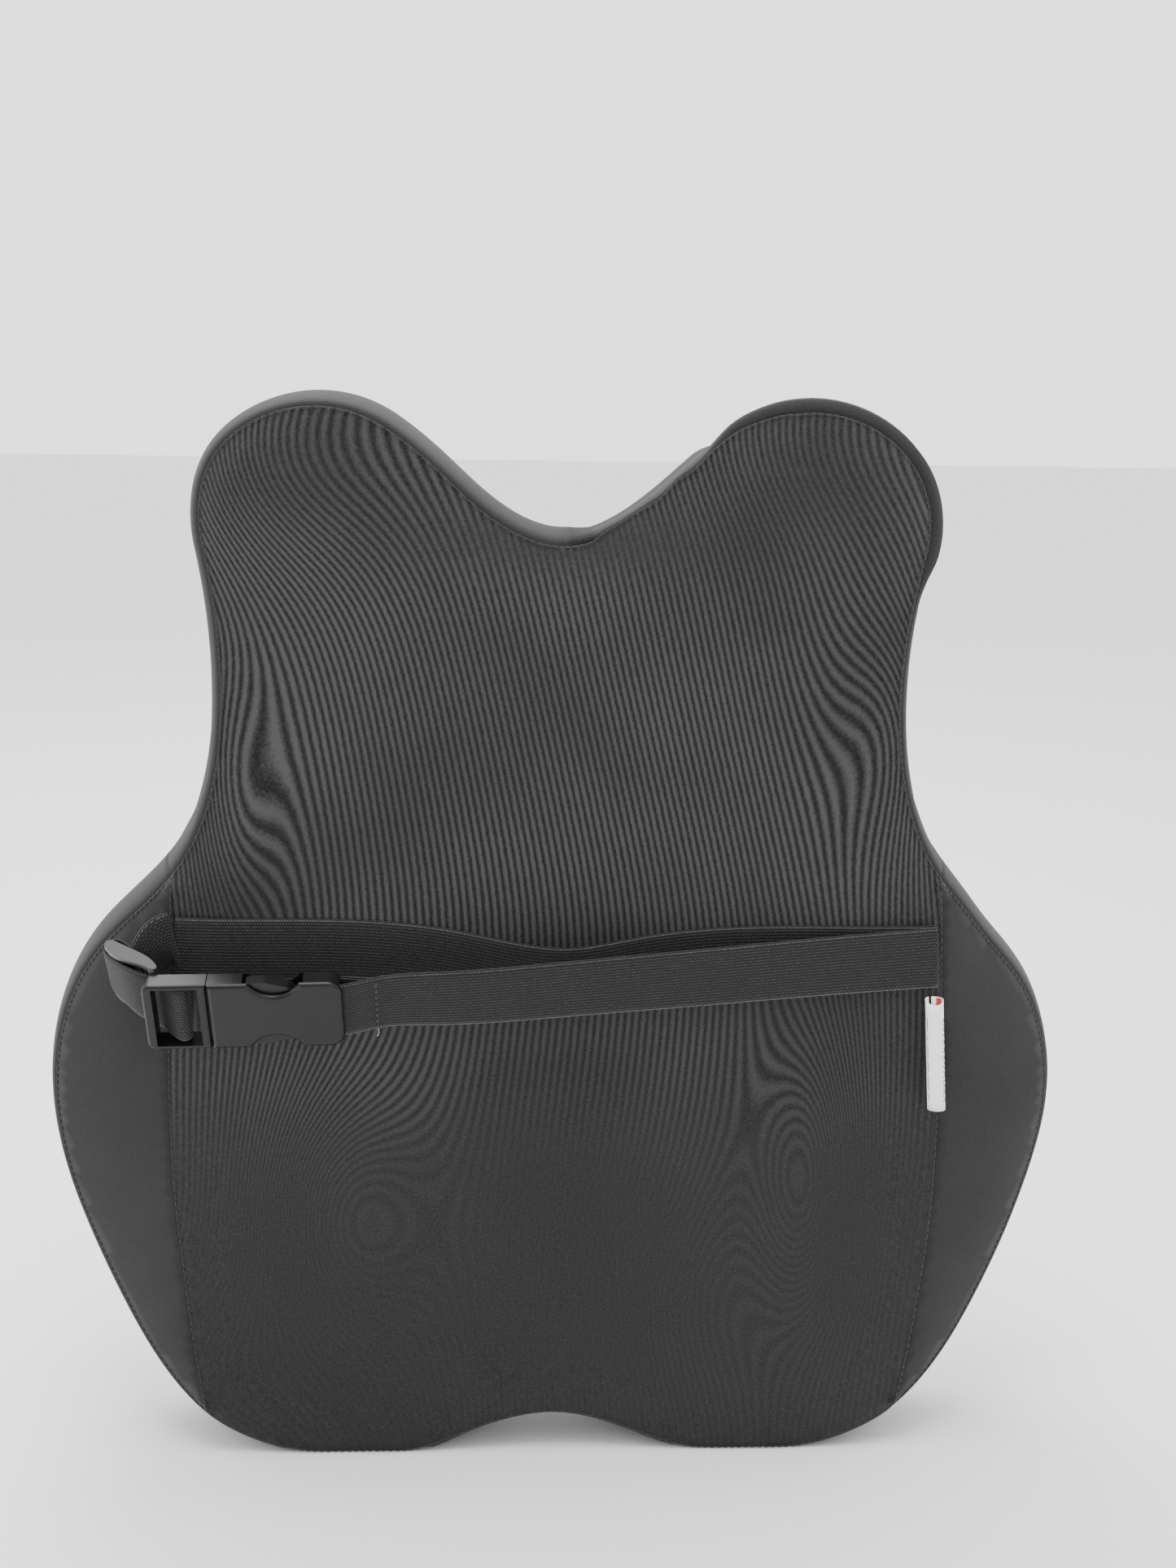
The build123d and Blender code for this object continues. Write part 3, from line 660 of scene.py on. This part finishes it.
def right_strap(material):
    up = Vector((0, 0, 1))
    run = [(152.8, -2.0, STRAP_Z), (110, -6.0, 217.2), (60, -10.5, 214.0), (5, -15.5, 210.6),
           (-50, -18.8, 207.6), (-72, -20.0, 206.4)]
    stations = [(Vector(p), up.lerp(BUCKLE_UP, i / (len(run) - 1))) for i, p in enumerate(run)]
    stations += bar_wrap(SOCKET_BAR, 90, 270)
    stations += [(in_buckle(a, 0, c), BUCKLE_UP) for a, c in ((52.0, -3.2), (58.0, -2.3), (66.0, -1.6))]
    strap = ribbon("right_strap_webbing", stations, material)
    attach(strap, CUSHION)
    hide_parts("right_strap")
    return strap


def left_strap(material):
    along = (in_buckle(PLUG_BAR[0], 0, 0) - TURN).normalized()
    across = Vector((-0.33, -0.32, 0.9))
    across = (across - along * across.dot(along)).normalized()
    out = along.cross(across)
    seam = Vector((-152.2, -0.9, BAND_Z + 2.6))
    stations = [(seam, Vector((0, 0, 1))), (seam + Vector((-3.2, -1.0, -0.9)), Vector((-0.05, 0, 1))),
                (TURN + along * 8 - out * (REACH + 0.6), across)]
    for i in range(9):
        angle = math.radians(-90 - 180 * i / 8)
        stations.append((TURN + along * (REACH * math.cos(angle)) + out * (REACH * math.sin(angle)), across))
    stations.append((TURN + along * 14 + out * (REACH + 0.2), across.lerp(BUCKLE_UP, 0.5)))
    stations.append((in_buckle(-20.8, 0.4, -5.9), BUCKLE_UP))
    stations += bar_wrap(PLUG_BAR, 135, -52)
    stations.append((in_buckle(-16.4, 0.4, -7.8), BUCKLE_UP))
    strap = ribbon("left_strap_webbing", stations, material)
    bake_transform(strap)
    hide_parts("left_strap")


def fold_stitches(strap, material):
    """Row of stitches across the right strap where its fold is sewn, with a loose thread end below."""
    a = 64.5
    place = in_buckle(a, 0, 0)
    surface = []
    for vertex in strap.data.vertices:
        point = Vector((vertex.co.x, vertex.co.y - BACK_Y, vertex.co.z)) / MM
        offset = point - place
        if abs(offset.dot(BUCKLE_ALONG)) < 1.2:
            surface.append((offset.dot(BUCKLE_UP), offset.dot(BUCKLE_OUT)))
    runs = []
    for i in range(8):
        b = -10.9 + 2.9 * i
        lift = max(out for up, out in surface if abs(up - b) < 2.4) + 0.12
        runs.append((in_buckle(a, b, lift), in_buckle(a + 0.25, b + 2.1, lift)))
    stitches = capsules("fold_stitches", runs, half_width=0.5)
    stitches.data.materials.append(material)
    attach(stitches, CUSHION)
    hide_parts("strap_stitches")
    low = in_buckle(a, -11.6, thread_end_lift(runs))
    curl = [low, low + Vector((0.3, -0.3, -1.2)), low + Vector((0.1, -0.5, -2.4)),
            low + Vector((-0.5, -0.3, -3.2))]
    return capsules("thread_end", list(zip(curl, curl[1:])), half_width=0.2)


def thread_end_lift(runs):
    """How far the stitches stand out from the buckle's middle plane."""
    return (Vector(runs[0][0]) - MOUTH).dot(BUCKLE_OUT)


def back_band(material):
    top = BAND_Z + WEB / 2
    line = [(-152.8, top, 0.6), (-45, top - 4.5, 0.9), (5, top - 12.0, 1.4), (35, top - 7.2, 1.1),
            (152.8, top - 2.8, 0.6)]
    stations = [(Vector((x, -off, z - WEB / 2)), Vector((0, 0, 1))) for x, z, off in line]
    band = ribbon("back_band_webbing", stations, material, thick=0.9)
    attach(band, CUSHION)
    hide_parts("back_band")


# ---- care label --------------------
LABEL_FOOT, LABEL_TOP = 156.0, 203.0
LABEL_X, LABEL_Y, LABEL_HALF, LABEL_BULGE = 151.6, -5.2, 3.7, 3.2     # its loop in plan: middle, half sizes
LABEL_LEAN = 3.2                                                      # its foot stands further right


def label_point(share, height, wall=0.0):
    """A point of the folded loop: share runs round it from seam to seam, height is 0 to 1."""
    angle = math.radians(-100 + 340 * share)
    front = max(0.0, math.sin(angle))
    x = LABEL_X + (LABEL_HALF - wall) * math.cos(angle) + LABEL_LEAN * (1 - height)
    y = LABEL_Y - (LABEL_BULGE - wall) * math.sin(angle)
    return x, y, LABEL_FOOT + (LABEL_TOP - LABEL_FOOT - 1.8 * front) * height


def care_label(material, inside_material, mark_material):
    count, rows, thick = 30, 12, 0.28
    points = [label_point(i / count, row / rows, wall)
              for wall in (0.0, thick) for row in range(rows + 1) for i in range(count + 1)]
    width = count + 1
    half = (rows + 1) * width
    faces = []
    for row in range(rows):
        for i in range(count):
            a = row * width + i
            faces.append([a, a + 1, a + 1 + width, a + width])
            faces.append([half + a, half + a + width, half + a + 1 + width, half + a + 1])
        for a in (row * width, row * width + count):
            faces.append([a, a + width, half + a + width, half + a])
    for i in range(count):
        for a in (i, rows * width + i):
            faces.append([a, half + a, half + a + 1, a + 1])
    label = new_mesh("care_label_cloth", points, faces)
    label.data.materials.append(material)
    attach(label, CUSHION)
    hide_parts("care_label")
    marks = []
    for share, longest in ((0.37, 2.6), (0.42, 1.6), (0.74, 7.0)):
        height = 0.08
        while height < 0.86:
            length = rng.uniform(0.3, 1.0) * longest / (LABEL_TOP - LABEL_FOOT)
            marks.append((label_point(share, height, -0.02), label_point(share, height + length, -0.02)))
            height += length + rng.uniform(0.012, 0.03)
    lines = capsules("care_label_marks", marks, half_width=0.17)
    lines.data.materials.append(mark_material)
    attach(lines, CUSHION)
    patch_points = [label_point(share, height, thick + 0.12)
                    for height in (0.86, 0.995) for share in (0.10, 0.15, 0.20, 0.25)]
    patch = new_mesh("care_label_patch", patch_points, [[i, i + 1, i + 5, i + 4] for i in range(3)])
    cloth = patch.modifiers.new("cloth", "SOLIDIFY")
    cloth.thickness = 0.1 * MM
    patch.data.materials.append(inside_material)
    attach(patch, CUSHION)


# ---- zip teeth --------------------
def zip_teeth(material):
    pitch, radius = 1.15, LOBE_RADIUS + 1.1
    count = int(math.radians(LOBE_END - LOBE_START - 5) * radius / pitch)
    for side, name in ((-1, "back"), (1, "front")):
        runs = []
        for i in range(count):
            angle = math.radians(LOBE_START + 2.5) + i * pitch / radius
            for lift, shift in ((0.0, 0.0), (0.42, 0.3)):
                turn = angle + shift / radius
                x = LOBE_X + (radius + lift) * math.cos(turn)
                z = LOBE_Z + (radius + lift) * math.sin(turn)
                runs.append(((x, ZIP_Y + side * 0.3, z), (x, ZIP_Y + side * 2.45, z)))
        teeth = capsules("zip_teeth_" + name, runs, half_width=0.42)
        teeth.data.materials.append(material)
        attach(teeth, CUSHION)
        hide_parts("zip_coil_" + name)


# ---- materials --------------------
class Nodes:
    """Short ways to build one material's node tree."""

    def __init__(self, name, base, roughness, **sockets):
        self.material = bpy.data.materials.new(name)
        self.material.use_nodes = True
        self.tree = self.material.node_tree
        self.shader = self.tree.nodes["Principled BSDF"]
        self.shader.inputs["Base Color"].default_value = (*base, 1)
        self.shader.inputs["Roughness"].default_value = roughness
        for socket, value in sockets.items():
            self.shader.inputs[socket.replace("_", " ")].default_value = value
        self.place = self.node("ShaderNodeTexCoord").outputs["Object"]

    def node(self, kind, **values):
        node = self.tree.nodes.new(kind)
        for key, value in values.items():
            setattr(node, key, value)
        return node

    def link(self, source, target):
        self.tree.links.new(source, target)

    def math(self, operation, a, b=None):
        node = self.node("ShaderNodeMath", operation=operation)
        for socket, value in zip(node.inputs, (a, b)):
            if isinstance(value, (int, float)):
                socket.default_value = value
            elif value is not None:
                self.link(value, socket)
        return node.outputs[0]

    def noise(self, scale, detail=3.0, roughness=0.55, stretch=None):
        node = self.node("ShaderNodeTexNoise")
        node.inputs["Scale"].default_value = scale
        node.inputs["Detail"].default_value = detail
        node.inputs["Roughness"].default_value = roughness
        source = self.place
        if stretch:
            mapping = self.node("ShaderNodeMapping")
            mapping.inputs["Scale"].default_value = stretch
            self.link(self.place, mapping.inputs["Vector"])
            source = mapping.outputs["Vector"]
        self.link(source, node.inputs["Vector"])
        return node.outputs["Fac"]

    def wave(self, direction, pitch_mm, distortion=0.0):
        """Stripes with the given distance between them, across one of the axes."""
        node = self.node("ShaderNodeTexWave", bands_direction=direction)
        node.inputs["Scale"].default_value = 2 * math.pi / (20.0 * pitch_mm * MM)
        node.inputs["Distortion"].default_value = distortion
        self.link(self.place, node.inputs["Vector"])
        return node.outputs["Fac"]

    def attribute(self, name):
        return self.node("ShaderNodeAttribute", attribute_name=name).outputs["Fac"]

    def ripple(self, value, pitch):
        """0 to 1 and back each pitch of the value."""
        sine = self.math("SINE", self.math("MULTIPLY", value, 2 * math.pi / pitch))
        return self.math("ADD", self.math("MULTIPLY", sine, 0.5), 0.5)

    def ramp(self, value, stops):
        node = self.node("ShaderNodeValToRGB")
        elements = node.color_ramp.elements
        while len(elements) < len(stops):
            elements.new(0.5)
        for element, (at, color) in zip(elements, stops):
            element.position = at
            element.color = (*color, 1)
        self.link(value, node.inputs["Fac"])
        return node.outputs["Color"]

    def color(self, output):
        self.link(output, self.shader.inputs["Base Color"])

    def rough(self, value, low, high):
        node = self.node("ShaderNodeMapRange")
        node.inputs["To Min"].default_value = low
        node.inputs["To Max"].default_value = high
        self.link(value, node.inputs["Value"])
        self.link(node.outputs["Result"], self.shader.inputs["Roughness"])

    def bump(self, height, distance_mm, strength=1.0):
        node = self.node("ShaderNodeBump")
        node.inputs["Distance"].default_value = distance_mm * MM
        node.inputs["Strength"].default_value = strength
        self.link(height, node.inputs["Height"])
        self.link(node.outputs["Normal"], self.shader.inputs["Normal"])


def grey(value, tint=(1.0, 1.0, 1.0)):
    return tuple(value * t for t in tint)


def plain_cloth(name, dark, light, tint=(1.0, 1.0, 0.99)):
    """Smooth knitted cloth: a fine mesh of loops, slightly mottled, with painted shade darkening the notch's
    tuck.
    """
    n = Nodes(name, grey(dark, tint), 0.88, Sheen_Weight=0.08, Sheen_Roughness=0.5, Specular_IOR_Level=0.2)
    loops = n.math("MULTIPLY", n.wave("X", 0.75, 0.4), n.wave("Z", 0.75, 0.4))
    depth_loops = n.math("MULTIPLY", n.wave("Y", 0.75, 0.4), n.wave("Z", 0.75, 0.4))
    loops = n.math("MAXIMUM", loops, depth_loops)
    mottle = n.math("ADD", n.math("MULTIPLY", n.noise(28.0, 2), 0.5),
                    n.math("MULTIPLY", n.noise(900.0, 2), 0.5))
    tone = n.math("ADD", n.math("MULTIPLY", mottle, 0.8), n.math("MULTIPLY", loops, 0.25))
    # painted shade: darkens the cloth in the notch's tuck, down to the ramp's darkest stop
    tone = n.math("SUBTRACT", tone, n.math("MULTIPLY", n.attribute("shade"), 0.45))
    n.color(n.ramp(tone, [(0.0, grey(dark * 0.3)), (0.25, grey(dark, tint)), (0.75, grey(light, tint))]))
    n.bump(n.math("ADD", loops, n.math("MULTIPLY", n.noise(600.0, 2), 0.6)), 0.10, 0.7)
    return n.material


def ribbed_cloth():
    """Knit with fine upright ribs whose lines sway and eddy, painted lighter over the upper half and painted
    in shade towards the lower edge.
    """
    dark, light, tint = 0.003, 0.056, (1.0, 0.985, 0.99)
    n = Nodes("ribbed_knit", grey(dark), 0.86, Sheen_Weight=0.06, Sheen_Roughness=0.45,
              Specular_IOR_Level=0.2)
    ribs = n.attribute("ribs")
    wide = n.ripple(n.math("ADD", ribs, n.math("MULTIPLY", n.noise(700.0, 2), 0.9)), 2.9)
    fine = n.ripple(ribs, 0.97)
    patchy = n.ramp(n.noise(9.0, 2), [(0.35, grey(0.5)), (0.65, grey(1.0))])
    clarity_and_painted_light = n.attribute("clarity_and_painted_light")
    around = n.math("MULTIPLY", n.math("SUBTRACT", n.math("MULTIPLY", wide, patchy), 0.35), clarity_and_painted_light)
    grain = n.noise(950.0, 2, 0.7)
    tone = n.math("ADD", n.math("MULTIPLY", around, 0.85), n.math("MULTIPLY", grain, 0.6))
    tone = n.math("ADD", tone, n.math("MULTIPLY", n.noise(6.0, 2), 0.16))
    # painted light and shade: the cloth is painted lighter where the ribs are clear (the upper half) and
    # darker towards the lower edge
    tone = n.math("ADD", tone, n.math("MULTIPLY", clarity_and_painted_light, 0.09))
    n.color(n.ramp(tone, [(0.12, grey(dark, tint)), (0.92, grey(light, tint))]))
    n.rough(wide, 0.78, 0.92)
    height = n.math("ADD", n.math("MULTIPLY", fine, 0.5), n.math("MULTIPLY", wide, 0.8))
    n.bump(n.math("ADD", height, n.math("MULTIPLY", grain, 0.3)), 0.16, 0.8)
    return n.material


def elastic():
    """Woven elastic: rows along the strap, a tight pick across it, bound edges."""
    n = Nodes("strap_elastic_weave", grey(0.02), 0.72, Sheen_Weight=0.08, Specular_IOR_Level=0.3)
    across, along = n.attribute("across"), n.attribute("along")
    rows = n.ripple(across, 2 / 20)
    picks = n.ripple(n.math("ADD", along, n.math("MULTIPLY", across, 5.5)), 1.1)
    weave = n.math("MULTIPLY", rows, n.math("ADD", n.math("MULTIPLY", picks, 0.6), 0.4))
    bound = n.math("GREATER_THAN", n.math("ABSOLUTE", across), 0.93)
    tone = n.math("ADD", n.math("MULTIPLY", weave, 0.6), n.math("MULTIPLY", n.noise(1100.0, 2, 0.7), 0.45))
    tone = n.math("ADD", tone, n.math("MULTIPLY", bound, 0.22))
    n.color(n.ramp(tone, [(0.2, grey(0.0015)), (0.66, grey(0.008)), (1.0, grey(0.12))]))
    groove = n.math("MULTIPLY", n.ripple(n.math("ABSOLUTE", across), 0.14), bound)
    n.bump(n.math("ADD", weave, n.math("MULTIPLY", groove, 0.7)), 0.22, 0.9)
    return n.material


def moulded_plastic(name, tone, roughness, shine):
    """Moulded plastic: a slight grain, and a little dust and rub on it."""
    n = Nodes(name, grey(tone), roughness, Specular_IOR_Level=shine)
    smear = n.noise(70.0, 4)
    n.color(n.ramp(smear, [(0.3, grey(tone * 0.85)), (0.7, grey(tone * 1.2))]))
    n.rough(smear, roughness - 0.06, roughness + 0.1)
    n.bump(n.math("ADD", n.noise(2600.0, 2), n.math("MULTIPLY", n.noise(240.0, 2), 0.8)), 0.035, 0.6)
    return n.material


def painted_metal():
    n = Nodes("zip_painted_metal", grey(0.035), 0.38, Metallic=0.55)
    rub = n.noise(420.0, 4)
    n.color(n.ramp(rub, [(0.45, grey(0.03)), (0.72, grey(0.16))]))
    n.rough(rub, 0.3, 0.5)
    n.bump(n.noise(900.0, 2), 0.03, 0.4)
    return n.material


def tape_cloth():
    n = Nodes("zip_tape_weave", grey(0.03), 0.85, Sheen_Weight=0.2)
    chevron = n.math("MULTIPLY", n.wave("Y", 0.8, 0.3), n.noise(900.0, 2))
    n.color(n.ramp(chevron, [(0.1, grey(0.018)), (0.8, grey(0.06))]))
    n.bump(chevron, 0.12, 0.8)
    return n.material


def label_cloth():
    n = Nodes("label_satin", (0.84, 0.83, 0.81), 0.55, Sheen_Weight=0.15)
    weave = n.math("MULTIPLY", n.wave("Z", 0.35), n.wave("X", 0.35))
    n.color(n.ramp(n.noise(260.0, 3), [(0.3, (0.88, 0.87, 0.86)), (0.7, (0.96, 0.95, 0.94))]))
    n.bump(weave, 0.04, 0.6)
    return n.material


def dyed(name, base, roughness=0.8):
    """Thread, ink or a dyed patch: fine fibres and uneven dye."""
    n = Nodes(name, base, roughness, Sheen_Weight=0.2)
    fibre = n.noise(1800.0, 2)
    n.color(n.ramp(fibre, [(0.3, tuple(0.7 * v for v in base)), (0.7, tuple(1.3 * v for v in base))]))
    n.bump(fibre, 0.05, 0.6)
    return n.material


def foam_material():
    n = Nodes("memory_foam", (0.72, 0.69, 0.58), 0.9, Sheen_Weight=0.1)
    node = n.node("ShaderNodeTexVoronoi")
    node.inputs["Scale"].default_value = 420.0
    n.link(n.place, node.inputs["Vector"])
    n.color(n.ramp(node.outputs["Distance"], [(0.1, (0.5, 0.47, 0.38)), (0.5, (0.74, 0.71, 0.6))]))
    n.bump(node.outputs["Distance"], 0.5, 0.7)
    return n.material


def use(node, material):
    """Gives a CAD node's own mesh a finished material."""
    for slot in frame["nodes"][node].material_slots:
        slot.material = material


# ---- inside --------------------
def inner_pieces(cover, points, foam, liner_cloth):
    """Foam and liner: the cover's own form, drawn in evenly."""
    for name, node, depth, material in (("foam_block", "foam_core", 3.4, foam),
                                        ("liner_sack", "inner_liner", 2.2, liner_cloth)):
        piece = new_mesh(name, points, cover.faces)
        normals = np.empty(len(points) * 3)
        piece.data.vertex_normals.foreach_get("vector", normals)
        moved = points - normals.reshape(-1, 3) * depth
        for vertex, place in zip(piece.data.vertices, moved):
            vertex.co = world(*place)
        piece.data.materials.append(material)
        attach(piece, CUSHION)
        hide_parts(node)


# ---- set: camera, light, floor --------------------
def camera():
    """Stands behind the cushion, a little above it and to its left, at about 0.8 m."""
    aim = world(10.4, 0, 290.0)
    azimuth, elevation, distance, roll = math.radians(-3.0), math.radians(12.0), 0.8, math.radians(-0.9)
    back = Vector((math.sin(azimuth) * math.cos(elevation), -math.cos(azimuth) * math.cos(elevation),
                   math.sin(elevation)))
    right = (-back).cross(Vector((0, 0, 1))).normalized()
    up = right.cross(-back)
    tilted_right = right * math.cos(roll) - up * math.sin(roll)
    tilted_up = right * math.sin(roll) + up * math.cos(roll)
    data = bpy.data.cameras.new("camera")
    data.lens, data.sensor_width, data.sensor_fit = 46.6, 36.0, "AUTO"
    data.clip_start, data.clip_end = 0.05, 20.0
    eye = bpy.data.objects.new("camera", data)
    turn = Matrix((tilted_right, tilted_up, back)).transposed().to_4x4()
    eye.matrix_world = Matrix.Translation(aim + back * distance) @ turn
    bpy.context.scene.collection.objects.link(eye)
    bpy.context.scene.camera = eye


def area_light(name, place, target, size, power):
    data = bpy.data.lights.new(name, "AREA")
    data.shape, data.size, data.energy = "DISK", size, power
    light = bpy.data.objects.new(name, data)
    light.location = place
    light.rotation_euler = (Vector(target) - Vector(place)).to_track_quat("-Z", "Y").to_euler()
    bpy.context.scene.collection.objects.link(light)


def room():
    """Bright above and in the distance, dimmer on the camera's side."""
    sky = bpy.data.worlds.new("studio")
    bpy.context.scene.world = sky
    sky.use_nodes = True
    tree = sky.node_tree
    background = tree.nodes["Background"]
    background.inputs["Color"].default_value = (1, 1, 1, 1)
    place = tree.nodes.new("ShaderNodeTexCoord")
    mapping = tree.nodes.new("ShaderNodeMapping")
    mapping.inputs["Rotation"].default_value = (math.radians(55), 0, 0)
    split = tree.nodes.new("ShaderNodeSeparateXYZ")
    dim, bright = 0.5, 2.3
    shade = tree.nodes.new("ShaderNodeMapRange")
    shade.inputs["From Min"].default_value = -0.75
    shade.inputs["From Max"].default_value = 0.45
    shade.inputs["To Min"].default_value = dim
    shade.inputs["To Max"].default_value = bright
    tree.links.new(place.outputs["Generated"], mapping.inputs["Vector"])
    tree.links.new(mapping.outputs["Vector"], split.inputs["Vector"])
    tree.links.new(split.outputs["Z"], shade.inputs["Value"])
    tree.links.new(shade.outputs["Result"], background.inputs["Strength"])


def studio():
    area_light("light_above", (-0.1, -0.3, 1.5), (0, 0, 0.2), 0.9, 15)
    area_light("light_behind_camera", (0.6, -2.0, 0.9), (0, 0, 0.2), 1.6, 7)
    area_light("light_far_side", (-0.3, 1.1, 1.6), (0, 0, 0.2), 1.0, 22)
    area_light("light_left", (-1.4, -0.3, 0.5), (0, 0, 0.2), 0.9, 3)
    room()
    floor_mesh = bpy.data.meshes.new("floor")
    reach = 8.0
    corners = [(-reach, -reach, 0), (reach, -reach, 0), (reach, reach, 0), (-reach, reach, 0)]
    floor_mesh.from_pydata(corners, [],
                           [[0, 1, 2, 3]])
    floor = bpy.data.objects.new("floor", floor_mesh)
    floor.location.z = -0.0005
    bpy.context.scene.collection.objects.link(floor)
    pale = Nodes("pale_floor", (0.86, 0.86, 0.86), 0.9)
    floor_mesh.materials.append(pale.material)


# ---- the whole scene --------------------
camera()
studio()

cover = Cover()
skin = soften(cover)
shells = split_cover(cover, skin)
plain = plain_cloth("cover_knit", 0.014, 0.026)
ribbed = ribbed_cloth()
looks = {"cover_back_panel": (ribbed, "ribbed_cloth")}
for half in ("back", "front"):
    looks["zip_tape_" + half] = (tape_cloth(), "zip_tape")
for panel, shell in shells.items():
    material, slot = looks.get(panel, (plain, "cover_cloth"))
    shell.data.materials.append(material)
thread = seam_stitches(cover, skin)
thread_dye = dyed("seam_thread", grey(0.008))
thread.data.materials.append(thread_dye)
inner_pieces(cover, skin, foam_material(), plain_cloth("liner_knit", 0.6, 0.75))

webbing = elastic()
back_band(webbing)
thread_end = fold_stitches(right_strap(webbing), thread_dye)
thread_end.data.materials.append(dyed("thread_end_pale", grey(0.35)))
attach(thread_end, CUSHION)
left_strap(webbing)
care_label(label_cloth(), dyed("label_patch_red", (0.45, 0.04, 0.03)), dyed("label_ink", grey(0.12)))
zip_teeth(moulded_plastic("zip_coil_nylon", 0.03, 0.4, 0.5))

buckle_plastic = moulded_plastic("buckle_acetal", 0.006, 0.30, 0.28)
for part_node in ("buckle_socket", "buckle_plug_frame", "buckle_prong_upper", "buckle_prong_lower"):
    use(part_node, buckle_plastic)
use("strap_adjuster", moulded_plastic("adjuster_acetal", 0.03, 0.33, 0.4))
for part_node in ("zip_slider", "zip_pull", "zip_stops"):
    use(part_node, painted_metal())
